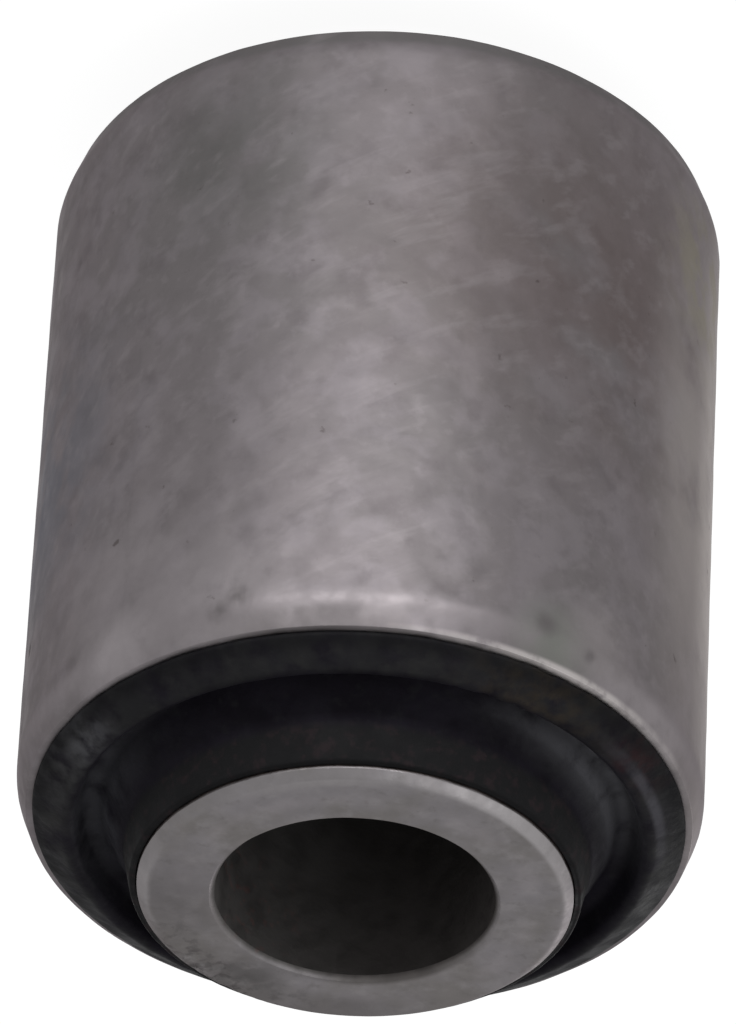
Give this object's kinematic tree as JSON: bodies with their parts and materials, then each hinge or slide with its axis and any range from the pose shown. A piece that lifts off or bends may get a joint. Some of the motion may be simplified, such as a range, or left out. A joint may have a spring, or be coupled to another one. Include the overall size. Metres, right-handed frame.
{
  "type": "rubber metal bush",
  "caption": "Bonded rubber metal bush: steel outer sleeve with tapered ends, moulded black rubber element and a thick steel inner sleeve standing proud at both ends.",
  "frame": {"origin": "on the bush's axis at mid length, which is the centre of the bounding box", "axes": "+Z along the axis of the bore; the bush stands on the lower end face of its inner sleeve"},
  "size_m": [0.05, 0.05, 0.068],
  "materials": {
    "outer_sleeve_steel": "bare mild steel tube, dull satin with faint scale and scratches",
    "inner_sleeve_steel": "bare mild steel tube, faced end, dull satin with small pits",
    "rubber": "moulded black natural rubber, matt with a faint sheen and dust"
  },
  "bodies": {
    "root": {"outer_sleeve": "outer_sleeve_steel", "rubber_element": "rubber", "inner_sleeve": "inner_sleeve_steel"}
  },
  "joints": []
}
